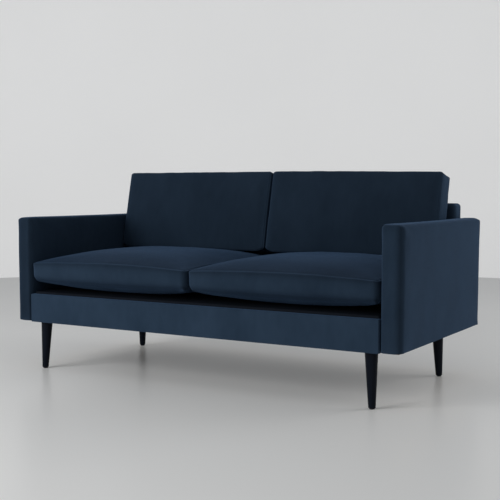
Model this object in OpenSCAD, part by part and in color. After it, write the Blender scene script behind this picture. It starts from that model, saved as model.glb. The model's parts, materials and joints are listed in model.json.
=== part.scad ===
// Two-seat sofa on four tapered wooden legs, built as a flat-pack maker builds it: a timber base
// on legs, two upholstered arms and an upholstered back bolted to it, and four loose cushions.
// Millimetres. +X is right as seen from the front, +Y points to the back, +Z is up.
// The origin is on the floor under the middle of the sofa.

/* [Overall] */
// Width over both arms
sofa_w = 1700; // [1400:10:2200]
// Depth from the front of the seat to the back of the back panel
sofa_d = 840; // [690:10:1010]
// Height of the arms above the floor
arm_top = 625; // [520:5:760]
// Height of the back panel above the floor
back_top = 685; // [570:5:830]
// Height of the underside of the base above the floor
base_z = 195; // [100:5:260]

/* [Base] */
// Height of the upholstered base
base_h = 115; // [95:5:160]
// Thickness of the base rails
rail_t = 22; // [18:1:30]
// Foam on the front of the base
base_foam = 14; // [6:1:25]
// Width of the centre joist
joist_w = 32; // [22:1:50]
// Height of the centre joist
joist_h = 60; // [40:1:75]
// Side of the square blocks over the legs
block_w = 90; // [75:1:110]
// Height of the blocks over the legs
block_h = 45; // [35:1:60]
// Thickness of the webbing straps
strap_t = 2; // [1.5:0.1:3]
// Width of the webbing straps
strap_w = 70; // [50:1:80]
// Straps that run from front to back under each seat
straps_per_seat = 5; // [3:1:7]
// Straps that run from side to side
cross_straps = 4; // [2:1:5]
// Felt and foam pad over the webbing
deck_foam = 10; // [5:1:20]
// Cloth of the seat deck
deck_cloth = 1; // [0.6:0.1:2]
// How far the base cover laps onto the rails, above and below
lap = 14; // [12:1:18]

/* [Arms and back] */
// Thickness of each arm
arm_t = 78; // [65:1:140]
// Thickness of the back panel
back_t = 78; // [65:1:140]
// Radius of the padded edges
edge_r = 20; // [8:1:26]
// Thickness of the velvet
skin = 1.5; // [1:0.1:2.5]
// Foam on the sides of the arms
side_foam = 12; // [6:1:18]
// Foam on the top and the front of the arms and the back
top_foam = 14; // [8:1:25]
// Foam on the rear faces
rear_foam = 6; // [4:1:15]
// Depth of the posts in the arms and the back
post_w = 45; // [35:1:70]
// Height of the top rails
top_rail_h = 40; // [30:1:60]
// Height of the bottom rails, which take the bolts
low_rail_h = 90; // [75:1:95]
// Thickness of the panels that face the frames
panel_t = 4; // [3:0.5:6]
// Webbing straps in the back
back_straps = 4; // [2:1:5]

/* [Seat cushions] */
// Height of the side strip round a seat cushion
seat_band = 95; // [70:1:130]
// Crown of the top
seat_crown = 50; // [20:1:65]
// Crown of the underside
seat_sag = 24; // [10:1:35]
// Radius of the cushion corners in plan
cushion_r = 25; // [10:1:50]
// Thickness of the cushion covers
cover_t = 1.6; // [1:0.1:2.5]

/* [Back cushions] */
// Height of a back cushion, along its slope
back_cushion_h = 341; // [300:1:450]
// Width of the side strip round a back cushion
back_band = 98; // [70:1:130]
// Crown of the front
back_crown = 30; // [10:1:45]
// Crown of the rear
back_rear_crown = 25; // [10:1:35]
// Angle of the back cushions from upright
lean = 12.4; // [6:0.1:20]

/* [Legs] */
// Diameter of a leg at the top
leg_top_d = 41; // [34:1:60]
// Diameter of a leg at the foot
leg_foot_d = 21; // [16:1:30]
// Splay of the legs along the diagonal
leg_splay = 2.8; // [0:0.1:8]
// Distance of the legs from the front face
leg_front = 46; // [45:1:60]
// Distance of the legs from the rear of the base
leg_rear = 65; // [45:1:70]
// Distance of the legs from the inside of the arms
leg_side = 46; // [45:1:60]
// Height of the glides under the feet
glide_h = 4; // [3:0.5:8]

/* [Fasteners] */
// Diameter of the frame bolts and the leg bolts
bolt_d = 8; // [6:1:10]
// Length of bolt that enters an arm or back rail
bolt_grip = 30; // [20:1:35]
// Diameter of the wood screws
screw_d = 4.5; // [3.5:0.5:5]
// Length of the rail screws
rail_screw_l = 70; // [55:1:80]
// Side of the square leg plates
plate_w = 70; // [60:1:75]
// Thickness of the leg plates
plate_t = 2.5; // [2:0.1:4]
// Spacing of the staples under the base
staple_gap = 110; // [60:5:160]

/* [Zips] */
// Length of a zip as a share of its cushion's width
zip_share = 0.72; // [0.5:0.01:0.8]
// Width of the zip tape
zip_w = 26; // [20:1:32]
// Height of the row of teeth above the tape
teeth_h = 1.4; // [1:0.1:2]
// Height of a slider above the teeth
slider_h = 3; // [2:0.1:4]

/* [Clearances] */
// Between the base and the arms and back that are bolted to it
fit = 1; // [0.5:0.1:3]
// Between the two seat cushions
centre_gap = 6; // [2:1:20]
// Between a seat cushion and an arm
side_gap = 4; // [2:1:20]
// Between a back cushion and an arm
back_side_gap = 15; // [4:1:30]
// Between a seat cushion and the back panel
rear_gap = 10; // [8:1:25]
// Between pieces that rest on each other
rest_gap = 1; // [0.5:0.1:3]
// Between a slider and its teeth
slide_gap = 0.4; // [0.3:0.1:1]
// Round the shank of a bolt in a drilled hole
bolt_gap = 0.3; // [0.1:0.1:1]
// Between the foam sheets of an arm or the back, where their edges meet
sheet_gap = 0.2; // [0.1:0.1:1]

/* [Hidden] */
$fn = 64;
// A length that is longer than the sofa, for cuts that pass right through.
far = 4000;
// A little more than nothing, so that a cut passes the face that it opens.
eps = 0.5;
SIDES = [-1, 1];
X = [1, 0, 0];
Y = [0, 1, 0];

// Overall planes.
front_y = -sofa_d / 2;
rear_y = sofa_d / 2;
inner_x = sofa_w / 2 - arm_t;
back_y = rear_y - back_t;

// Base box and the rails in it.
base_x = inner_x - fit;
base_rear = back_y - fit;
base_top = base_z + base_h;
rail_x = base_x - skin;
rail_front = front_y + skin + base_foam;
rail_back = base_rear - skin;
rail_z = base_z + skin;
rail_top = base_top - skin - strap_t;
side_y0 = rail_front + rail_t;
side_y1 = rail_back - rail_t;
side_mid_x = rail_x - rail_t / 2;
deck_x = rail_x - lap;
deck_y0 = rail_front + lap;
deck_y1 = rail_back - lap;
deck_top = base_top - skin + deck_foam + deck_cloth;

// Arm frame, which fills what the foam and the velvet leave.
arm_in = inner_x + skin + side_foam;
arm_out = sofa_w / 2 - skin - side_foam;
arm_front = front_y + skin + top_foam;
arm_rear = rear_y - skin - rear_foam;
arm_frame_top = arm_top - skin - top_foam;

// Back frame.
back_frame_y = back_y + skin + top_foam + strap_t;
back_frame_rear = rear_y - skin - rear_foam - panel_t;
back_frame_x = base_x - skin - rear_foam;
back_frame_top = back_top - skin - top_foam;

// Seat cushions.
seat_w = inner_x - side_gap - centre_gap / 2;
seat_x = centre_gap / 2 + seat_w / 2;
seat_d = back_y - rear_gap - front_y;
seat_y = front_y + seat_d / 2;
seat_z = deck_top + rest_gap + seat_sag;
function arc_r(span, rise) = (span * span / 4 + rise * rise) / (2 * rise);
// A crown would rise this much more from front to back than from side to side, so the middle is level.
cross_crown = 1.2;
seat_rise = seat_crown * cross_crown;
seat_r = arc_r(seat_d, seat_rise);
function seat_arc(y) = seat_rise - seat_r + sqrt(seat_r * seat_r - pow(y - seat_y, 2));
function seat_top(y) = seat_z + seat_band + min(seat_crown, seat_arc(y));

// Back cushions. They lean on the back panel's front edge and stand on the seat cushions.
back_w = inner_x - back_side_gap - centre_gap / 2;
back_x = centre_gap / 2 + back_w / 2;
zip_proud = teeth_h + slide_gap + slider_h;
// The bulge behind the cushion touches the back panel at the highest point that both share.
lean_y = back_y - rest_gap - back_rear_crown / cos(lean);
lean_z = back_top - edge_r;
// Bottom rear corner of the cushion's side strip, with the underside clear of the crowned seats.
function corner_y(z) = lean_y - (lean_z - z) * tan(lean);
function under_y(z, t) = corner_y(z) - t * back_band * cos(lean);
foot_guess = seat_z + seat_band;
back_foot = max([for (t = [0:0.1:1]) seat_top(under_y(foot_guess, t)) - t * back_band * sin(lean)])
    + zip_proud + rest_gap;

// Legs: [x side, y], the place of each leg's top.
leg_x = inner_x - leg_side;
LEG_Y = [front_y + leg_front, base_rear - leg_rear];
dust_t = 0.8;
leg_top_z = base_z - dust_t;
boss_r = bolt_d / 2 + 2.5;
boss_h = 14;
leg_bolt_in = 45;
glide_r = leg_foot_d / 2 - 1.5;
nail_r = 1.2;
nail_h = 16;
plate_screw_l = 20;
plate_hole = plate_w / 2 - 8;

// Bolts that join the arms and the back to the base.
bolt_z = base_z + base_h / 2;
hex_r = bolt_d * 0.9;
hex_h = bolt_d * 0.65;
washer_r = bolt_d * 1.3;
washer_t = 1.6;
insert_r = bolt_d / 2 + 3;
arm_bolt_y0 = side_y0 + block_w + 40;
arm_bolt_y1 = side_y1 - block_w - 40;
ARM_BOLT_Y = [for (i = [0:2]) arm_bolt_y0 + i * (arm_bolt_y1 - arm_bolt_y0) / 2];
back_bolt_x = leg_x - block_w - 40;
BACK_BOLT_X = [for (i = [-1.5:1:1.5]) i * back_bolt_x / 1.5];

// Rail screws: two at each end of each side rail and of the joist.
SCREW_X = [-side_mid_x, 0, side_mid_x];
SCREW_Z = [rail_z + 28, rail_z + joist_h - 14];

// ---- shapes that repeat ----

// A box between two corners.
module block(lo, hi) {
    translate(lo) cube(hi - lo);
}

// A rectangle with round corners, centred.
module rounded_rect(w, d, r) {
    square([w - 2 * r, d], center = true);
    square([w, d - 2 * r], center = true);
    for (x = SIDES, y = SIDES) translate([x * (w / 2 - r), y * (d / 2 - r)]) circle(r);
}

// An upright outline that stands on y = 0, with its two top corners round.
module arched(w, h, r) {
    translate([-w / 2, 0]) square([w, h - r]);
    translate([r - w / 2, 0]) square([w - 2 * r, h]);
    for (x = SIDES) translate([x * (w / 2 - r), h - r]) circle(r);
}

// A padded box whose upright and top edges are round, drawn in by inset all over.
module padded_box(lo, hi, r, inset = 0) {
    a = lo + inset * [1, 1, 1];
    b = hi - inset * [1, 1, 1];
    s = b - a;
    c = (a + b) / 2;
    q = max(r - inset, 1);
    intersection() {
        translate([c.x, c.y, a.z]) linear_extrude(s.z) rounded_rect(s.x, s.y, q);
        translate([a.x, c.y, a.z]) rotate([90, 0, 90]) linear_extrude(s.x) arched(s.y, s.z, q);
        translate([c.x, b.y, a.z]) rotate([90, 0, 0]) linear_extrude(s.y) arched(s.x, s.z, q);
    }
}

// One cylinder face of a crown: it rises over span to rise above z, and runs along the other axis.
module crown(span, rise, z, along, inset) {
    r = arc_r(span, abs(rise));
    lift = z + rise - sign(rise) * r;
    translate([0, 0, lift]) rotate(90, along) cylinder(h = far, r = r - inset, center = true, $fn = 720);
}

// A cushion body, centred in plan, whose side strip runs from z = 0 to h, with crowned faces.
module crowned_block(w, d, h, top, low, r, inset = 0) {
    intersection() {
        translate([0, 0, -low - eps]) linear_extrude(h + low + top + 2 * eps)
            rounded_rect(w - 2 * inset, d - 2 * inset, r - inset);
        crown(w, top, h, X, inset);
        crown(d, top * cross_crown, h, Y, inset);
        crown(w, -low, 0, X, inset);
        crown(d, -low * cross_crown, 0, Y, inset);
    }
}

// A thin strap between two corners' plan, or any other flat row of copies along an axis.
module row_of(n, from, to) {
    for (i = [0:n - 1]) translate(from + (n > 1 ? i / (n - 1) : 0) * (to - from)) children();
}

// Mirrors to the side of the sofa: -1 is left, 1 is right.
module on_side(side) {
    if (side < 0) mirror(X) children(); else children();
}

// ---- fasteners ----

// A shank along +Y from the origin.
module shank(r, l) {
    rotate([-90, 0, 0]) cylinder(h = l, r = r);
}

// The places of the bolts: each child lies along +Y, with its origin on the rail's inner face.
module at_bolts() {
    for (s = SIDES, y = ARM_BOLT_Y) on_side(s)
        translate([rail_x - rail_t, y, bolt_z]) rotate([0, 0, -90]) children();
    for (x = BACK_BOLT_X) translate([x, side_y1, bolt_z]) children();
}

arm_reach = rail_t + skin + fit + skin + side_foam + panel_t;
back_reach = rail_t + skin + fit + skin + top_foam + strap_t;
bolt_l = max(arm_reach, back_reach) + bolt_grip;

module bolt_holes(r) {
    at_bolts() translate([0, -eps, 0]) shank(r, bolt_l + bolt_gap + eps);
}

// Countersunk screw along +Y, with its head's face at the origin.
module countersunk(r, l) {
    rotate([-90, 0, 0]) {
        cylinder(h = r, r1 = 2 * r, r2 = r);
        cylinder(h = l, r = r);
    }
}

module at_rail_screws() {
    for (x = SCREW_X, z = SCREW_Z) {
        translate([x, rail_front, z]) children();
        translate([x, rail_back, z]) rotate([0, 0, 180]) children();
    }
}

module rail_screw_set() {
    at_rail_screws() countersunk(screw_d / 2, rail_screw_l);
}

// The frame of each leg's top, on the underside of the base.
module at_legs() {
    for (s = SIDES, y = LEG_Y) translate([s * leg_x, y, base_z]) children();
}

module plate_screw_set() {
    at_legs() for (x = SIDES, y = SIDES) translate([x * plate_hole, y * plate_hole, 0])
        rotate([90, 0, 0]) countersunk(screw_d / 2, plate_screw_l);
}

// Tilts its children about a leg's top, so that -Z runs down the splayed leg.
module splayed(s, back) {
    y = back ? 1 : -1;
    translate([s * leg_x, LEG_Y[back ? 1 : 0], base_z]) rotate(leg_splay, [y, -s, 0]) children();
}

module at_splayed() {
    for (s = SIDES, back = [false, true]) splayed(s, back) children();
}

module leg_bolt_set(r, gap = 0) {
    at_splayed() translate([0, 0, -leg_bolt_in - gap]) cylinder(h = leg_bolt_in + gap + boss_h + 12, r = r);
}

module boss_set(r) {
    at_splayed() translate([0, 0, plate_t / 2]) cylinder(h = boss_h, r = r);
}

module plate_set() {
    at_legs() translate([-plate_w / 2, -plate_w / 2, 0]) cube([plate_w, plate_w, plate_t]);
}

// The foot of each leg: where its axis meets the top of its glide.
foot_run = (base_z - glide_h) * tan(leg_splay) / sqrt(2);
module at_feet() {
    for (s = SIDES, i = [0, 1]) translate([s * (leg_x + foot_run), LEG_Y[i] + (i * 2 - 1) * foot_run, 0])
        children();
}

module frame_bolts() {
    color("silver") at_bolts() {
        translate([0, -washer_t - hex_h, 0]) rotate([-90, 0, 0]) cylinder(h = hex_h, r = hex_r, $fn = 6);
        translate([0, -washer_t - hex_h, 0]) shank(bolt_d / 2, washer_t + hex_h + bolt_l);
        difference() {
            translate([0, -washer_t, 0]) shank(washer_r, washer_t);
            translate([0, -washer_t - eps, 0]) shank(bolt_d / 2, washer_t + 2 * eps);
        }
    }
}

module insert_set(r, gap) {
    for (s = SIDES, y = ARM_BOLT_Y) on_side(s) translate([arm_in + panel_t, y, bolt_z])
        rotate([0, 0, -90]) shank(r, bolt_grip - 4 + gap);
    for (x = BACK_BOLT_X) translate([x, back_frame_y, bolt_z]) shank(r, bolt_grip - 4 + gap);
}

module threaded_inserts() {
    color("goldenrod") difference() {
        insert_set(insert_r, 0);
        bolt_holes(bolt_d / 2);
    }
}

module rail_screws() {
    color("silver") rail_screw_set();
}

module leg_plates() {
    color("dimgray") difference() {
        union() {
            plate_set();
            boss_set(boss_r);
        }
        leg_bolt_set(bolt_d / 2);
        plate_screw_set();
    }
}

module plate_screws() {
    color("silver") plate_screw_set();
}

module leg_bolts() {
    color("silver") leg_bolt_set(bolt_d / 2);
}

// ---- base ----

// All that is drilled or let into the rails from outside.
module rail_cuts() {
    bolt_holes(bolt_d / 2 + bolt_gap);
    rail_screw_set();
    plate_screw_set();
    plate_set();
    boss_set(boss_r);
    leg_bolt_set(bolt_d / 2);
}

module front_rail() {
    color("burlywood") difference() {
        block([-rail_x, rail_front, rail_z], [rail_x, side_y0, rail_top]);
        rail_cuts();
    }
}

module rear_rail() {
    color("burlywood") difference() {
        block([-rail_x, side_y1, rail_z], [rail_x, rail_back, rail_top]);
        rail_cuts();
    }
}

module side_rail(side) {
    color("burlywood") difference() {
        on_side(side) block([rail_x - rail_t, side_y0, rail_z], [rail_x, side_y1, rail_top - strap_t]);
        rail_cuts();
    }
}

module centre_joist() {
    color("burlywood") difference() {
        block([-joist_w / 2, side_y0, rail_z], [joist_w / 2, side_y1, rail_z + joist_h]);
        rail_cuts();
    }
}

module leg_blocks() {
    inner = rail_x - rail_t;
    color("tan") difference() {
        for (s = SIDES) on_side(s) {
            block([inner - block_w, side_y0, rail_z], [inner, side_y0 + block_w, rail_z + block_h]);
            block([inner - block_w, side_y1 - block_w, rail_z], [inner, side_y1, rail_z + block_h]);
        }
        rail_cuts();
    }
}

// The straps stop on the rails: the long ones lie over the cross ones.
strap_end = rail_t - 4;
module seat_webbing() {
    long = [strap_w, side_y1 - side_y0 + 2 * strap_end, strap_t];
    first = joist_w / 2 + strap_w / 2;
    last = rail_x - rail_t - strap_w;
    cross = [2 * (rail_x - rail_t + strap_end), strap_w, strap_t];
    color("saddlebrown") {
        for (s = SIDES) row_of(straps_per_seat, [s * first, 0, 0], [s * last, 0, 0])
            translate([-strap_w / 2, side_y0 - strap_end, rail_top]) cube(long);
        row_of(cross_straps, [0, side_y0 + strap_w, 0], [0, side_y1 - strap_w, 0])
            translate([-cross.x / 2, -strap_w / 2, rail_top - strap_t]) cube(cross);
    }
}

module deck_pad() {
    color("whitesmoke")
        block([-deck_x, deck_y0, base_top - skin], [deck_x, deck_y1, base_top - skin + deck_foam]);
}

// The deck cloth covers the pad and its hem lies on the base cover.
module deck_cover() {
    hem = lap - 4;
    color("midnightblue") difference() {
        union() {
            block([-deck_x - deck_cloth, deck_y0 - deck_cloth, base_top],
                [deck_x + deck_cloth, deck_y1 + deck_cloth, deck_top]);
            block([-deck_x - hem, deck_y0 - hem, base_top], [deck_x + hem, deck_y1 + hem, base_top + deck_cloth]);
        }
        block([-deck_x, deck_y0, base_top - skin], [deck_x, deck_y1, deck_top - deck_cloth]);
    }
}

module front_padding() {
    color("whitesmoke") difference() {
        block([-rail_x, front_y + skin, rail_z], [rail_x, rail_front, base_top - skin]);
        plate_set();
    }
}

// Velvet round all four sides of the base, turned in over and under the rails.
module base_cover() {
    color("midnightblue") difference() {
        block([-base_x, front_y, base_z], [base_x, base_rear, base_top]);
        block([-rail_x, front_y + skin, rail_z], [rail_x, rail_back, base_top - skin]);
        block([-deck_x, deck_y0, base_z - eps], [deck_x, deck_y1, base_top + eps]);
        bolt_holes(bolt_d / 2 + bolt_gap);
        plate_set();
        plate_screw_set();
    }
}

dust_margin = 8;
module dust_cover() {
    color("black") difference() {
        block([dust_margin - base_x, front_y + dust_margin, leg_top_z],
            [base_x - dust_margin, base_rear - dust_margin, leg_top_z + dust_t]);
        leg_bolt_set(bolt_d / 2);
    }
}

module staple(along_x) {
    size = along_x ? [10, 1.2, 0.6] : [1.2, 10, 0.6];
    translate([-size.x / 2, -size.y / 2, leg_top_z - size.z]) cube(size);
}

module dust_cover_staples() {
    x = base_x - dust_margin - 5;
    y0 = front_y + dust_margin + 5;
    y1 = base_rear - dust_margin - 5;
    color("silver") {
        for (y = [y0, y1]) row_of(round(2 * x / staple_gap), [60 - x, y, 0], [x - 60, y, 0]) staple(true);
        for (s = SIDES) row_of(round((y1 - y0) / staple_gap), [s * x, y0 + 60, 0], [s * x, y1 - 60, 0])
            staple(false);
    }
}

// ---- legs ----

// A turned, tapered leg, cut level at the top and at the foot.
module leg(s, back) {
    slope = (leg_top_d - leg_foot_d) / 2 / (base_z - glide_h);
    over = 10;
    color([0.07, 0.06, 0.06]) difference() {
        intersection() {
            splayed(s, back) translate([0, 0, -base_z - over]) cylinder(h = base_z + 2 * over,
                r1 = leg_foot_d / 2 - slope * (over + glide_h), r2 = leg_top_d / 2 + slope * over);
            block([-far, -far, glide_h], [far, far, leg_top_z]);
        }
        leg_bolt_set(bolt_d / 2);
        glide_nails();
    }
}

module glide_nails() {
    at_feet() translate([0, 0, glide_h - eps]) cylinder(h = nail_h + eps, r = nail_r);
}

module leg_glides() {
    color("dimgray") {
        at_feet() cylinder(h = glide_h, r = glide_r);
        glide_nails();
    }
}

// ---- arms ----

ARM_LO = [inner_x, front_y, base_z];
ARM_HI = [sofa_w / 2, rear_y, arm_top];

module arm_posts(side) {
    a = [arm_in + panel_t, arm_front, base_z + skin];
    b = [arm_out - panel_t, arm_front + post_w, arm_frame_top];
    run = [0, arm_rear - arm_front - post_w, 0];
    color("burlywood") on_side(side) {
        block(a, b);
        block(a + run, b + run);
    }
}

module arm_rail(side, z0, z1) {
    color("burlywood") difference() {
        on_side(side) block([arm_in + panel_t, arm_front + post_w, z0], [arm_out - panel_t, arm_rear - post_w, z1]);
        insert_set(insert_r, 0);
        bolt_holes(bolt_d / 2 + bolt_gap);
    }
}

module arm_top_rail(side) {
    arm_rail(side, arm_frame_top - top_rail_h, arm_frame_top);
}

module arm_bottom_rail(side) {
    arm_rail(side, base_z + skin, base_z + skin + low_rail_h);
}

module arm_panels(side) {
    color("peru") difference() {
        on_side(side) for (x = [arm_in, arm_out - panel_t])
            block([x, arm_front, base_z + skin], [x + panel_t, arm_rear, arm_frame_top]);
        bolt_holes(bolt_d / 2 + bolt_gap);
    }
}

// Foam sheets on the two faces, the top, the front and the rear. The faces' sheets cover the edges
// of the others, and the top's sheet covers the front's and the rear's.
module arm_padding(side) {
    z0 = base_z + skin;
    x0 = arm_in + sheet_gap;
    x1 = arm_out - sheet_gap;
    z1 = arm_frame_top - sheet_gap;
    sheets = [
        [[arm_out, -far, z0], [far, far, far]],
        [[0, -far, z0], [arm_in, far, far]],
        [[x0, -far, arm_frame_top], [x1, far, far]],
        [[x0, -far, z0], [x1, arm_front, z1]],
        [[x0, arm_rear, z0], [x1, far, z1]]
    ];
    color("whitesmoke") difference() {
        on_side(side) for (s = sheets) intersection() {
            padded_box(ARM_LO, ARM_HI, edge_r, skin);
            block(s[0], s[1]);
        }
        bolt_holes(bolt_d / 2 + bolt_gap);
    }
}

module arm_cover(side) {
    color("midnightblue") difference() {
        on_side(side) difference() {
            padded_box(ARM_LO, ARM_HI, edge_r);
            padded_box(ARM_LO, ARM_HI, edge_r, skin);
        }
        bolt_holes(bolt_d / 2 + bolt_gap);
    }
}

// ---- back ----

BACK_LO = [-base_x, back_y, base_z];
BACK_HI = [base_x, rear_y, back_top];

module back_posts() {
    last = back_frame_x - post_w / 2;
    color("burlywood") row_of(3, [-last, 0, 0], [last, 0, 0])
        block([-post_w / 2, back_frame_y, base_z + skin + low_rail_h],
            [post_w / 2, back_frame_rear, back_frame_top - top_rail_h]);
}

module back_rail(z0, z1) {
    color("burlywood") difference() {
        block([-back_frame_x, back_frame_y, z0], [back_frame_x, back_frame_rear, z1]);
        insert_set(insert_r, 0);
        bolt_holes(bolt_d / 2 + bolt_gap);
    }
}

module back_top_rail() {
    back_rail(back_frame_top - top_rail_h, back_frame_top);
}

module back_bottom_rail() {
    back_rail(base_z + skin, base_z + skin + low_rail_h);
}

// Straps across the front of the back frame.
module back_webbing() {
    z0 = base_top + strap_w / 2 + 10;
    z1 = back_frame_top - strap_w / 2 - 6;
    w = min(strap_w, (z1 - z0) / back_straps);
    color("saddlebrown") row_of(back_straps, [0, 0, z0], [0, 0, z1])
        block([-back_frame_x, back_frame_y - strap_t, -w / 2], [back_frame_x, back_frame_y, w / 2]);
}

module back_board() {
    color("peru") block([-back_frame_x, back_frame_rear, base_z + skin],
        [back_frame_x, back_frame_rear + panel_t, back_frame_top]);
}

module back_padding() {
    z0 = base_z + skin;
    front = back_frame_y - strap_t;
    rear = back_frame_rear + panel_t;
    y0 = front + sheet_gap;
    y1 = rear - sheet_gap;
    z1 = back_frame_top - sheet_gap;
    sheets = [
        [[-far, -far, z0], [far, front, far]],
        [[-far, rear, z0], [far, far, far]],
        [[-far, y0, back_frame_top], [far, y1, far]],
        [[-far, y0, z0], [-back_frame_x, y1, z1]],
        [[back_frame_x, y0, z0], [far, y1, z1]]
    ];
    color("whitesmoke") difference() {
        for (s = sheets) intersection() {
            padded_box(BACK_LO, BACK_HI, edge_r, skin);
            block(s[0], s[1]);
        }
        bolt_holes(bolt_d / 2 + bolt_gap);
    }
}

module back_cover() {
    color("midnightblue") difference() {
        padded_box(BACK_LO, BACK_HI, edge_r);
        padded_box(BACK_LO, BACK_HI, edge_r, skin);
        bolt_holes(bolt_d / 2 + bolt_gap);
    }
}

// ---- cushions ----

// Zip parts lie along X on a wall whose outside faces +Y, with the wall's face at y = 0.
module zip_tape(w) {
    l = w * zip_share;
    color("midnightblue") {
        translate([-l / 2, -cover_t, -zip_w / 2]) cube([l, cover_t, zip_w]);
        translate([-l / 2 + 6, 0, -3]) cube([l - 12, teeth_h, 6]);
    }
}

module zip_slot(w) {
    l = w * zip_share;
    translate([-l / 2, -cover_t - eps, -zip_w / 2]) cube([l, cover_t + 2 * eps, zip_w]);
}

// A slider at the closed end of its zip, with its pull lying along the teeth.
slider_l = 12;
pull_l = 26;
module zip_slider(w) {
    x = 30 - w * zip_share / 2;
    y = teeth_h + slide_gap;
    color("silver") translate([x, y, 0]) {
        translate([-slider_l / 2, 0, -4.5]) cube([slider_l, slider_h - 1.2, 9]);
        difference() {
            translate([0, slider_h - 1.2, -3.5]) cube([pull_l, 1.2, 7]);
            translate([pull_l - 4, 0, 0]) shank(1.5, slider_h + eps);
        }
    }
}

// Seat cushions, drawn on the right and mirrored to the left.
module at_seat(side) {
    translate([side * seat_x, seat_y, seat_z]) children();
}

module seat_body(inset) {
    crowned_block(seat_w, seat_d, seat_band, seat_crown, seat_sag, cushion_r, inset);
}

module seat_zip_place() {
    translate([0, seat_d / 2, seat_band / 2]) children();
}

module seat_cover(side) {
    color("midnightblue") at_seat(side) difference() {
        seat_body(0);
        seat_body(cover_t);
        seat_zip_place() zip_slot(seat_w);
    }
}

module seat_foam(side) {
    color("whitesmoke") at_seat(side) seat_body(cover_t);
}

module seat_zip(side) {
    at_seat(side) seat_zip_place() zip_tape(seat_w);
}

module seat_slider(side) {
    at_seat(side) seat_zip_place() zip_slider(seat_w);
}

// Back cushions: drawn lying on their rear face, then stood up and leant back. In the drawing frame
// +Y runs up the cushion and +Z out of its front.
module at_back(side) {
    foot_y = corner_y(back_foot);
    translate([side * back_x, foot_y, back_foot]) rotate([90 - lean, 0, 0])
        translate([0, back_cushion_h / 2, 0]) children();
}

module back_body(inset) {
    crowned_block(back_w, back_cushion_h, back_band, back_crown, back_rear_crown, cushion_r, inset);
}

module back_zip_place() {
    translate([0, -back_cushion_h / 2, back_band / 2]) rotate([180, 0, 0]) children();
}

module back_cushion_cover(side) {
    color("midnightblue") at_back(side) difference() {
        back_body(0);
        back_body(cover_t);
        back_zip_place() zip_slot(back_w);
    }
}

module back_cushion_foam(side) {
    color("whitesmoke") at_back(side) back_body(cover_t);
}

module back_zip(side) {
    at_back(side) back_zip_place() zip_tape(back_w);
}

module back_slider(side) {
    at_back(side) back_zip_place() zip_slider(back_w);
}

// ---- assembly ----

front_rail();
rear_rail();
side_rail(-1);  // left_side_rail
side_rail(1);  // right_side_rail
centre_joist();
leg_blocks();
rail_screws();
seat_webbing();
deck_pad();
deck_cover();
front_padding();
base_cover();
dust_cover();
dust_cover_staples();
leg(-1, false);  // front_left_leg
leg(1, false);  // front_right_leg
leg(-1, true);  // rear_left_leg
leg(1, true);  // rear_right_leg
leg_plates();
plate_screws();
leg_bolts();
leg_glides();
frame_bolts();
threaded_inserts();
arm_posts(-1);  // left_arm_posts
arm_top_rail(-1);  // left_arm_top_rail
arm_bottom_rail(-1);  // left_arm_bottom_rail
arm_panels(-1);  // left_arm_panels
arm_padding(-1);  // left_arm_padding
arm_cover(-1);  // left_arm_cover
arm_posts(1);  // right_arm_posts
arm_top_rail(1);  // right_arm_top_rail
arm_bottom_rail(1);  // right_arm_bottom_rail
arm_panels(1);  // right_arm_panels
arm_padding(1);  // right_arm_padding
arm_cover(1);  // right_arm_cover
back_posts();
back_top_rail();
back_bottom_rail();
back_webbing();
back_board();
back_padding();
back_cover();
seat_cover(-1);  // left_seat_cover
seat_foam(-1);  // left_seat_foam
seat_zip(-1);  // left_seat_zip
seat_slider(-1);  // left_seat_slider
seat_cover(1);  // right_seat_cover
seat_foam(1);  // right_seat_foam
seat_zip(1);  // right_seat_zip
seat_slider(1);  // right_seat_slider
back_cushion_cover(-1);  // left_back_cover
back_cushion_foam(-1);  // left_back_foam
back_zip(-1);  // left_back_zip
back_slider(-1);  // left_back_slider
back_cushion_cover(1);  // right_back_cover
back_cushion_foam(1);  // right_back_foam
back_zip(1);  // right_back_zip
back_slider(1);  // right_back_slider
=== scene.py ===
"""A two-seat sofa in dark blue velvet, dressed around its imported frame.

The frame holds every size and every moving body. This script builds what shows on it: padded arms, back
and base, four loose cushions with their zips, the deck under the seats, the dust cover and the turned
legs, and gives each of them, and each plain part inside, its own procedural finish.
"""

import json
import logging
import math
import time
from collections.abc import Callable, Iterable
from dataclasses import dataclass, field
from enum import Enum

import bmesh
import bpy
import numpy as np
from mathutils import Matrix, Vector, noise


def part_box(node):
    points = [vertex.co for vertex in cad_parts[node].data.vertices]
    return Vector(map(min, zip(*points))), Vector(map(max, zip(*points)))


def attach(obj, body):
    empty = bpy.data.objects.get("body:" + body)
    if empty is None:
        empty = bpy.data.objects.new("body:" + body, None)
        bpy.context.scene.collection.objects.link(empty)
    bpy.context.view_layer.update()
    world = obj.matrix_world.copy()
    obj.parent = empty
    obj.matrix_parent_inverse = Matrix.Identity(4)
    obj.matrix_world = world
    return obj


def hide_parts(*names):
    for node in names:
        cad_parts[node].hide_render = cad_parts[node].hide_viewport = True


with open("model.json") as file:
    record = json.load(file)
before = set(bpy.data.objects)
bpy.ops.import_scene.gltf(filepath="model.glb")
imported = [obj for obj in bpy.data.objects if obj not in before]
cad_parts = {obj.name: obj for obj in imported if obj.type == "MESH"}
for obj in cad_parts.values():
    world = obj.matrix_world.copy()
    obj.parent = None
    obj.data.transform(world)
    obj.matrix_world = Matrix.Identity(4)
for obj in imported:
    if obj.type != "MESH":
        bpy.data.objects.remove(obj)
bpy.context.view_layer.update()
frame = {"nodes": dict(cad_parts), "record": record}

log = logging.getLogger("sofa")
MM = 0.001
# The point attribute that holds painted shade and painted light: a number for each point of a padded cover that
# scales the velvet's colour.
PAINTED_SHADE = "tone"
ZIP_SHARE = 0.72


# ---------------------------------------------------------------- shader maths


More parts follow.
